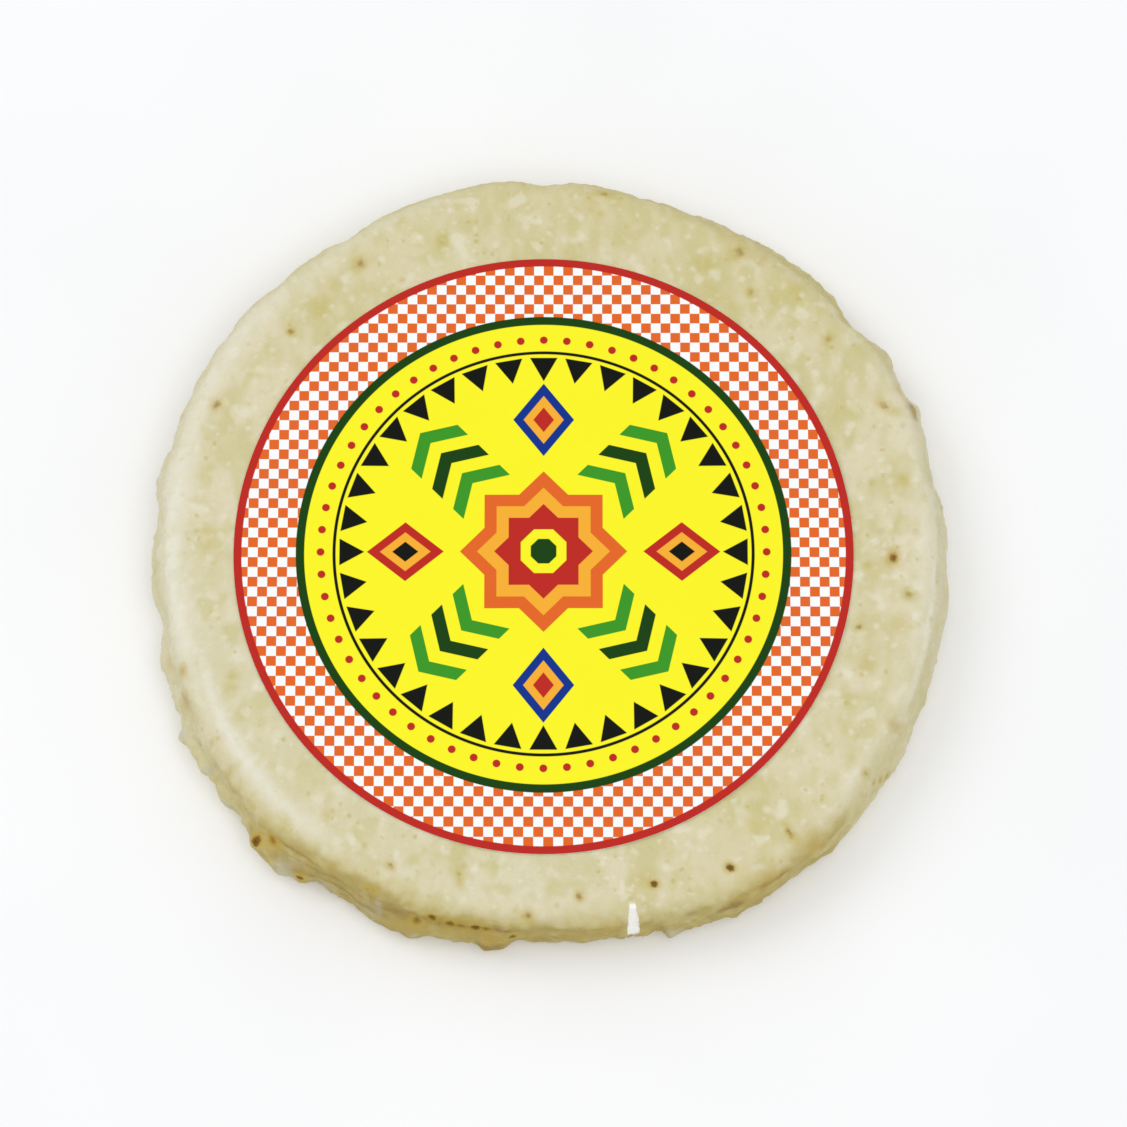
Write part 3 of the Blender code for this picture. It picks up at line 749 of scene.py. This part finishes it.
class Shader:
    """A Principled material and the few node moves used here."""

    def __init__(self, name):
        self.mat = bpy.data.materials.new(name)
        self.mat.use_nodes = True
        self.tree = self.mat.node_tree
        self.bsdf = self.tree.nodes["Principled BSDF"]
        coord = self.tree.nodes.new("ShaderNodeTexCoord")
        scale = self.tree.nodes.new("ShaderNodeVectorMath")
        scale.operation = 'SCALE'
        scale.inputs["Scale"].default_value = 1000.0
        self.tree.links.new(coord.outputs["Object"], scale.inputs[0])
        self.mm = scale.outputs["Vector"]

    def axis(self):
        node = self.tree.nodes.new("ShaderNodeSeparateXYZ")
        self.tree.links.new(self.mm, node.inputs[0])
        return [Num(self.tree, node.outputs[k]) for k in range(3)]

    def field(self, name):
        node = self.tree.nodes.new("ShaderNodeAttribute")
        node.attribute_name = name
        return Num(self.tree, node.outputs["Fac"])

    def noise(self, size, detail=2.0, rough=0.5, offset=(0, 0, 0), distortion=0.0, scale=(1, 1, 1)):
        """Noise, about 0 to 1, with features `size` mm across."""
        node = self.tree.nodes.new("ShaderNodeTexNoise")
        node.inputs["Scale"].default_value = 1.0 / size
        node.inputs["Detail"].default_value = detail
        node.inputs["Roughness"].default_value = rough
        node.inputs["Distortion"].default_value = distortion
        move = self.tree.nodes.new("ShaderNodeMapping")
        move.inputs["Location"].default_value = offset
        move.inputs["Scale"].default_value = scale
        self.tree.links.new(self.mm, move.inputs["Vector"])
        self.tree.links.new(move.outputs["Vector"], node.inputs["Vector"])
        return Num(self.tree, node.outputs["Fac"])

    def cells(self, size, feature='F1', offset=(0, 0, 0), randomness=1.0):
        """Voronoi: (distance in mm, random number of the cell)."""
        node = self.tree.nodes.new("ShaderNodeTexVoronoi")
        node.feature = feature
        node.inputs["Scale"].default_value = 1.0 / size
        node.inputs["Randomness"].default_value = randomness
        move = self.tree.nodes.new("ShaderNodeMapping")
        move.inputs["Location"].default_value = offset
        self.tree.links.new(self.mm, move.inputs["Vector"])
        self.tree.links.new(move.outputs["Vector"], node.inputs["Vector"])
        dist = Num(self.tree, node.outputs["Distance"]) * size
        if feature == 'DISTANCE_TO_EDGE':
            return dist, None
        split = self.tree.nodes.new("ShaderNodeSeparateColor")
        self.tree.links.new(node.outputs["Color"], split.inputs[0])
        return dist, Num(self.tree, split.outputs[0])

    def mix(self, a, b, t):
        """Colour a to colour b by t. Colours are sockets or linear triples."""
        node = self.tree.nodes.new("ShaderNodeMix")
        node.data_type = 'RGBA'
        node.clamp_factor = True
        for k, item in ((6, a), (7, b)):
            if isinstance(item, (tuple, list)):
                node.inputs[k].default_value = (*item, 1.0)
            else:
                self.tree.links.new(item, node.inputs[k])
        if isinstance(t, Num):
            self.tree.links.new(t.socket, node.inputs[0])
        else:
            node.inputs[0].default_value = t
        return node.outputs[2]

    def tint(self, colour, factor):
        """Colour times a grey factor."""
        node = self.tree.nodes.new("ShaderNodeVectorMath")
        node.operation = 'SCALE'
        self.tree.links.new(colour, node.inputs[0])
        self.tree.links.new(factor.socket, node.inputs["Scale"])
        return node.outputs["Vector"]

    def colour(self, socket):
        self.tree.links.new(socket, self.bsdf.inputs["Base Color"])

    def roughness(self, value):
        self.tree.links.new(value.socket, self.bsdf.inputs["Roughness"])

    def bump(self, height, strength=1.0, distance=MM):
        """height is in mm."""
        node = self.tree.nodes.new("ShaderNodeBump")
        node.inputs["Strength"].default_value = strength
        node.inputs["Distance"].default_value = distance
        self.tree.links.new(height.socket, node.inputs["Height"])
        self.tree.links.new(node.outputs["Normal"], self.bsdf.inputs["Normal"])


def srgb(r, g, b):
    def one(v):
        v /= 255.0
        return v / 12.92 if v <= 0.04045 else ((v + 0.055) / 1.055) ** 2.4
    return (one(r), one(g), one(b))


# ======================================================================
#  Materials
# ======================================================================


def dough_material():
    m = Shader("arepa_dough")
    side, toast_and_shade, raised_highlight = m.field("side"), m.field("toast_and_shade"), m.field("raised_highlight")
    fold_shade, core, stain = m.field("fold_shade"), m.field("core"), m.field("stain")
    rust, grit, pit = m.field("rust"), m.field("grit"), m.field("pit")
    cloud, mottle, starch = m.field("cloud"), m.field("mottle"), m.field("starch")
    grain, blotch, olive = m.field("grain"), m.field("blotch"), m.field("olive")
    streak = m.field("streak")
    tint, tone, torn = m.field("tint"), m.field("tone"), m.field("split")
    small = m.noise(1.1, 1.0, 0.5, (1, 8, 4))
    fine = m.noise(0.42, 1.0, 0.5, (5, 5, 9))
    dist, pick = m.cells(1.15, offset=(7.2, 3.7, 1.1))

    # cream dough, clouded with olive and with paler starch
    base = m.mix(srgb(222, 213, 179), srgb(209, 200, 150), (cloud * 0.7 + streak * 0.6).ramp(-1.3, 1.5))
    base = m.mix(base, srgb(206, 196, 138), tone.ramp(0.0, 1.3) * 0.35)
    base = m.mix(base, srgb(225, 219, 193), (tone * -1.0).ramp(0.0, 1.3) * 0.45)
    base = m.mix(base, srgb(201, 192, 126), mottle.ramp(0.5, 2.4) * 0.50)
    base = m.mix(base, srgb(198, 184, 106), (olive + (small - 0.5) * 0.3 * olive).ramp(0.0, 1.1) * 0.62)
    base = m.mix(base, srgb(232, 227, 204), starch.ramp(0.5, 2.3) * 0.55)
    base = m.mix(base, srgb(210, 199, 154), grain.ramp(0.3, 2.2) * 0.35)

    # pale grits: ground corn that shows through the skin
    ragged = (fine - 0.5) * 0.35
    small_grit = (dist + ragged).below(0.30, 0.22) * pick.ramp(0.80, 0.92)
    base = m.mix(base, srgb(235, 231, 214), (small_grit * 0.26).max((grit + ragged * 0.8).ramp(0.20, 1.0) * 0.50))

    # small yellow flecks of bran
    fleck = (dist + ragged * 1.3).below(0.30, 0.24) * pick.below(0.07, 0.02)
    base = m.mix(base, srgb(192, 172, 92), fleck * 0.50)
    # painted shade: the pits darkened, as shadow in the dents
    base = m.mix(base, srgb(188, 176, 116), pit.ramp(0.3, 0.9) * 0.40)

    # side: drier and more golden, toasted where it met the griddle, and darker on the near side, where painted shade
    # stands for its shadow
    drier = m.mix(srgb(213, 206, 172), srgb(203, 193, 142), tone.ramp(0.0, 1.0).max(toast_and_shade))
    base = m.mix(base, drier, side * (grain.ramp(-1.2, 1.6) * 0.45 + 0.35))
    # painted highlight: the raised rim bands painted paler, the sheen of light along the rim
    base = m.mix(base, srgb(232, 229, 212), raised_highlight * (grain.ramp(-1.2, 1.6) * 0.3 + 0.60))
    gold = (toast_and_shade * (blotch.ramp(-1.8, 1.8) * 0.25 + grain.ramp(-2.0, 2.0) * 0.15 + 0.78)).min(1.0)
    base = m.mix(base, srgb(195, 180, 108), gold * 0.84)
    # deep: darkest at the outer edge of the near side, painted shade as well as toast
    deep = (toast_and_shade - 0.40 + blotch * 0.10 + grain * 0.08).ramp(0.0, 0.7)
    base = m.mix(base, srgb(168, 146, 78), deep * toast_and_shade * 0.68)
    burnt = m.field("scorch") + (small - 0.5) * 0.35 * m.field("scorch")
    base = m.mix(base, srgb(138, 107, 54), burnt.ramp(0.06, 0.95) * 0.74)
    # painted shade: the folds darkened as if their grooves lay in shadow
    base = m.mix(base, srgb(140, 116, 62), fold_shade.ramp(0.15, 0.95) * 0.55)

    base = m.mix(base, srgb(190, 158, 74), (tint + (small - 0.5) * 0.3 * tint).ramp(0.05, 1.0) * 0.72)
    # painted highlights: below zero, tint paints greyish pale glints of light on the side
    base = m.mix(base, srgb(198, 199, 188), (tint * -1.0).ramp(0.05, 1.0) * 0.60)
    # painted light: the split's walls painted near white, so the narrow gap reads as lit instead of shaded
    base = m.mix(base, srgb(254, 253, 247), torn * 0.97)

    # specks: stain, then the core
    wob = (small - 0.5) * 0.30 + (fine - 0.5) * 0.22
    ring = m.mix(srgb(192, 177, 76), srgb(196, 158, 52), rust)
    base = m.mix(base, ring, (stain + wob * stain.ramp(0.0, 0.25)).ramp(0.06, 0.85) * 0.80)
    heart = m.mix(srgb(88, 68, 24), srgb(140, 96, 26), rust)
    heart = m.mix(heart, srgb(54, 34, 20), core.ramp(0.95, 1.30) * 0.85)
    base = m.mix(base, heart, (core + wob * core.ramp(0.0, 0.25)).ramp(0.16, 0.80) * 0.97)

    base = m.tint(base, fine * 0.08 + 0.96)
    m.colour(base)

    m.roughness((small * 0.16 + mottle * 0.03 + 0.52) + side * 0.10)
    b = m.bsdf.inputs
    b["Subsurface Weight"].default_value = 0.20
    b["Subsurface Radius"].default_value = (1.0, 0.84, 0.58)
    b["Subsurface Scale"].default_value = 1.2 * MM
    b["Specular IOR Level"].default_value = 0.24
    b["IOR"].default_value = 1.42

    # skin: soft pebbling, grain and pinholes
    hole = (dist + ragged * 0.6).below(0.17, 0.13) * pick.ramp(0.27, 0.25) * pick.ramp(0.22, 0.24)
    height = small * (side * 0.20 + 0.13) + fine * (side * 0.07 + 0.05) - hole * 0.10 + small_grit * 0.04
    m.bump(height, strength=0.8)
    return m.mat


YELLOW = srgb(252, 245, 40)
WHITE = srgb(250, 252, 252)
ORANGE = srgb(229, 104, 40)
RED = srgb(190, 42, 34)
GREEN = srgb(24, 66, 14)
LEAF = srgb(60, 152, 38)
BLUE = srgb(14, 52, 140)
AMBER = srgb(248, 176, 52)
BLACK = srgb(16, 18, 12)
CHECK_X, CHECK_Y = 1.3824, 1.4400


def label_print():
    """The printed face: rings, a check, and a round ornament of plain
    geometric shapes about the middle."""
    m = Shader("label_print")
    x, y, z = m.axis()
    u = x - (SHIFT_X + LABEL_X)
    v = y - (SHIFT_Y + LABEL_Y)
    r = (u * u + v * v).sqrt()
    soft = 0.05
    paint = m.mix

    # check of orange squares on white
    a = u / CHECK_X + 0.0075
    b = v / CHECK_Y + 0.519
    odd = ((a.floor() + b.floor()) * 0.5).fract().ramp(0.24, 0.26)
    square = (a.fract() - 0.5).abs().max((b.fract() - 0.5).abs()).below(0.520, 0.020)
    col = paint(WHITE, ORANGE, odd * square)
    # rings
    col = paint(col, RED, r.ramp(42.34, 42.44))
    col = paint(col, GREEN, r.below(34.78, soft))
    col = paint(col, YELLOW, r.below(33.59, soft))

    ang = u.atan2(v)          # 0 at the top, clockwise

    def place(count, radius):
        """Across and outward from the middle of the nearest of `count`
        places on a circle, and that place's number."""
        turns = ang * (count / (2.0 * math.pi)) + 0.5
        off = (turns.fract() - 0.5) * (2.0 * math.pi / count)
        return (r * off.sin()).abs(), r * off.cos() - radius, turns.floor()

    # outer border: red dots, a thin rule and black triangles
    p, q, _ = place(60, 31.3)
    col = paint(col, RED, (p * p + q * q).sqrt().below(0.55, soft))
    col = paint(col, BLACK, (r - 29.4).abs().below(0.22, soft))
    p, q, _ = place(36, 26.9)
    col = paint(col, BLACK, (p - (q + 1.75) * 0.56).below(0.0, 0.06) * q.below(1.75, soft))

    # middle circle: green chevrons between nested lozenges
    p, q, number = place(8, 19.4)
    odd8 = (number * 0.5).fract().ramp(0.2, 0.3)
    quarter = (number * 0.25).fract().ramp(0.2, 0.3)
    step = ((q + p * 0.62 + 6.3) / 4.2)
    inside = step.ramp(-0.01, 0.01) * step.below(3.0, 0.01) * p.below(4.6, soft)
    stripe = (step.fract() - 0.5).abs().below(0.25, 0.012) * inside * odd8
    shade = (step.floor() * 0.5).fract().ramp(0.2, 0.3)
    col = paint(col, paint(LEAF, GREEN, shade), stripe)
    far = p / 4.3 + q.abs() / 5.4
    even8 = 1.0 - odd8
    col = paint(col, paint(BLUE, RED, quarter), far.below(1.0, 0.012) * even8)
    col = paint(col, AMBER, far.below(0.66, 0.012) * even8)
    col = paint(col, paint(RED, BLACK, quarter), far.below(0.34, 0.012) * even8)

    # eight-pointed star in the middle
    sx, sy = u.abs(), v.abs()
    box, tilt = sx.max(sy), (sx + sy) * 0.70711
    near, full = box.min(tilt), box.max(tilt)
    for colour, shape, size in ((ORANGE, near, 8.3), (AMBER, near, 6.6), (RED, near, 4.9),
                                (YELLOW, full, 3.2), (GREEN, full, 1.8)):
        col = paint(col, colour, shape.below(size, soft))

    # ink is a shade uneven on the sheet
    fibre = m.noise(0.8, 2.0, 0.6, (3, 1, 8))
    sheen = m.noise(12.0, 1.0, 0.5, (4, 2, 7))
    m.colour(m.tint(col, sheen * 0.02 + fibre * 0.024 + 0.978))
    m.roughness(fibre * 0.12 + sheen * 0.10 + 0.34)
    m.bump(fibre * 0.012, strength=0.6)
    b = m.bsdf.inputs
    b["Specular IOR Level"].default_value = 0.08
    return m.mat


def label_paper():
    m = Shader("label_paper")
    fibre = m.noise(0.5, 3.0, 0.6, (2, 2, 8))
    col = m.mix(srgb(240, 238, 230), srgb(226, 222, 210), fibre.ramp(0.35, 0.7))
    m.colour(col)
    m.roughness(fibre * 0.1 + 0.6)
    m.bump(fibre * 0.02, strength=0.6)
    return m.mat


# ======================================================================
#  Pieces
# ======================================================================


def make_cake():
    pts, new, faces, along, zone, fields = dress_cake()
    ob = make_mesh("arepa_cake", shifted(new), faces, fields)
    polar_uv(ob.data, pts, along, zone)
    ob.data.materials.append(dough_material())
    return ob


def make_label():
    """A coated paper disc lying on the dough, its edge just off it."""
    n, rings = 320, 34
    radii = [LABEL_RADIUS * (1.0 - (1.0 - (k + 1) / rings) ** 1.25) for k in range(rings)]
    lift, thick = 0.09, 0.22
    th = np.arange(n) * 2.0 * math.pi / n

    def sheet_z(x, y):
        p = np.stack([x, y, np.zeros_like(x)], 1)
        rr = np.hypot(x - LABEL_X, y - LABEL_Y) / LABEL_RADIUS
        deg = np.degrees(np.arctan2(y - LABEL_Y, x - LABEL_X))
        curl = 0.12 * np.exp(-(turn(deg, 38.0) / 30.0) ** 2) + 0.08 * np.exp(-(turn(deg, 205.0) / 36.0) ** 2)
        edge = smooth(0.86, 1.0, rr)
        return (top(x, y) + lift + 0.05 * layered(p, 16.0, 2, 91) * smooth(0.0, 0.3, 1.02 - rr)
                + edge * (0.03 + curl))

    pts, faces = [], []
    sheets = []
    for offset in (thick, 0.0):
        mid = len(pts)
        cx, cy = np.array([LABEL_X]), np.array([LABEL_Y])
        pts.append((LABEL_X, LABEL_Y, float(sheet_z(cx, cy)[0]) + offset))
        rows = []
        for k, radius in enumerate(radii):
            rows.append(len(pts))
            x, y = LABEL_X + radius * np.cos(th), LABEL_Y + radius * np.sin(th)
            z = sheet_z(x, y) + offset
            pts.extend(zip(x.tolist(), y.tolist(), z.tolist()))
        sheets.append((mid, rows))
    up, low = sheets
    top_faces = 0
    for i in range(n):
        j = (i + 1) % n
        faces.append((up[0], up[1][0] + i, up[1][0] + j))
        for a, b in zip(up[1], up[1][1:]):
            faces.append((a + i, b + i, b + j, a + j))
    top_faces = len(faces)
    for i in range(n):
        j = (i + 1) % n
        faces.append((low[0], low[1][0] + j, low[1][0] + i))
        for a, b in zip(low[1], low[1][1:]):
            faces.append((a + j, b + j, b + i, a + i))
        faces.append((up[1][-1] + i, low[1][-1] + i, low[1][-1] + j, up[1][-1] + j))
    arr = np.array(pts)
    ob = make_mesh("label_sheet", shifted(arr), faces)
    me = ob.data
    me.materials.append(label_print())
    me.materials.append(label_paper())
    slots = np.zeros(len(me.polygons), np.int32)
    slots[top_faces:] = 1
    me.polygons.foreach_set("material_index", slots)
    me.set_sharp_from_angle(angle=math.radians(40))
    # the print fills most of the map, the back is a small disc in a corner
    layer = me.uv_layers.new(name="OFBake")
    uv = np.zeros((len(me.loops), 2), np.float32)
    side_k = 0
    for p in me.polygons:
        for li in p.loop_indices:
            vx, vy, vz = arr[me.loops[li].vertex_index]
            du, dv = (vx - LABEL_X) / LABEL_RADIUS, (vy - LABEL_Y) / LABEL_RADIUS
            if p.index < top_faces:
                uv[li] = (0.448 + 0.440 * du, 0.448 + 0.440 * dv)
            elif len(p.vertices) == 4 and abs(p.normal.z) < 0.5:
                is_low = me.loops[li].vertex_index >= low[0]
                grow = 1.030 if is_low else 1.008
                uv[li] = (0.448 + 0.440 * du * grow, 0.448 + 0.440 * dv * grow)
            else:
                uv[li] = (0.885 + 0.105 * du, 0.885 + 0.105 * dv)
    layer.data.foreach_set("uv", uv.ravel())
    return ob


cake = make_cake()
label = make_label()
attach(cake, "root")
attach(label, "root")
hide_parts("arepa")
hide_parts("label")

# ======================================================================
#  Stage, light and camera
# ======================================================================


def make_floor():
    n = 96
    pts, faces = [(0.0, 0.0, 0.0)], []
    radii = (0.3, 1.2, 4.0, 14.0)
    for radius in radii:
        for i in range(n):
            a = 2 * math.pi * i / n
            pts.append((radius * math.cos(a), radius * math.sin(a), 0.0))
    for i in range(n):
        j = (i + 1) % n
        faces.append((0, 1 + i, 1 + j))
        for k in range(len(radii) - 1):
            a, b = 1 + k * n, 1 + (k + 1) * n
            faces.append((a + i, b + i, b + j, a + j))
    ob = make_mesh("floor", np.array(pts), faces)
    m = Shader("floor_pale")
    cloud = m.noise(60.0, 2.0, 0.5)
    m.colour(m.mix(srgb(252, 252, 252), srgb(249, 249, 249), cloud.ramp(0.3, 0.7)))
    m.bsdf.inputs["Roughness"].default_value = 0.75
    m.bsdf.inputs["Specular IOR Level"].default_value = 0.2
    ob.data.materials.append(m.mat)


def aim(ob, target):
    way = Vector(target) - ob.location
    ob.rotation_euler = way.to_track_quat('-Z', 'Y').to_euler()


def area_light(name, place, target, size, watts, colour=(1, 1, 1)):
    data = bpy.data.lights.new(name, 'AREA')
    data.shape = 'DISK'
    data.size = size
    data.energy = watts
    data.color = colour
    ob = bpy.data.objects.new(name, data)
    bpy.context.scene.collection.objects.link(ob)
    ob.location = place
    aim(ob, target)
    return ob


def make_light():
    area_light("key", (-0.95, 0.45, 1.15), (0, 0, 0), 0.9, 4.0, (1.0, 0.995, 0.98))
    area_light("over", (0.30, -0.45, 1.50), (0, 0, 0), 1.3, 6.4, (1.0, 1.0, 1.0))
    world = bpy.data.worlds.new("world")
    bpy.context.scene.world = world
    world.use_nodes = True
    bg = world.node_tree.nodes["Background"]
    bg.inputs["Color"].default_value = (0.97, 0.98, 1.0, 1.0)
    bg.inputs["Strength"].default_value = 0.70


def make_camera():
    data = bpy.data.cameras.new("camera")
    data.sensor_width = 36.0
    data.lens = 180.0
    data.clip_start, data.clip_end = 0.02, 60.0
    cam = bpy.data.objects.new("camera", data)
    bpy.context.scene.collection.objects.link(cam)
    elevation = math.radians(73.7)
    frame_width = 1127 * 0.1414 * MM
    distance = frame_width * data.lens / data.sensor_width
    target = Vector((0.00185, -0.00051, 0.0050))
    cam.location = target + Vector((0.0, -math.cos(elevation), math.sin(elevation))) * distance
    aim(cam, target)
    bpy.context.scene.camera = cam
    return cam


make_floor()
make_light()
make_camera()
scene = bpy.context.scene
scene.view_settings.view_transform = 'Standard'
scene.view_settings.look = 'None'
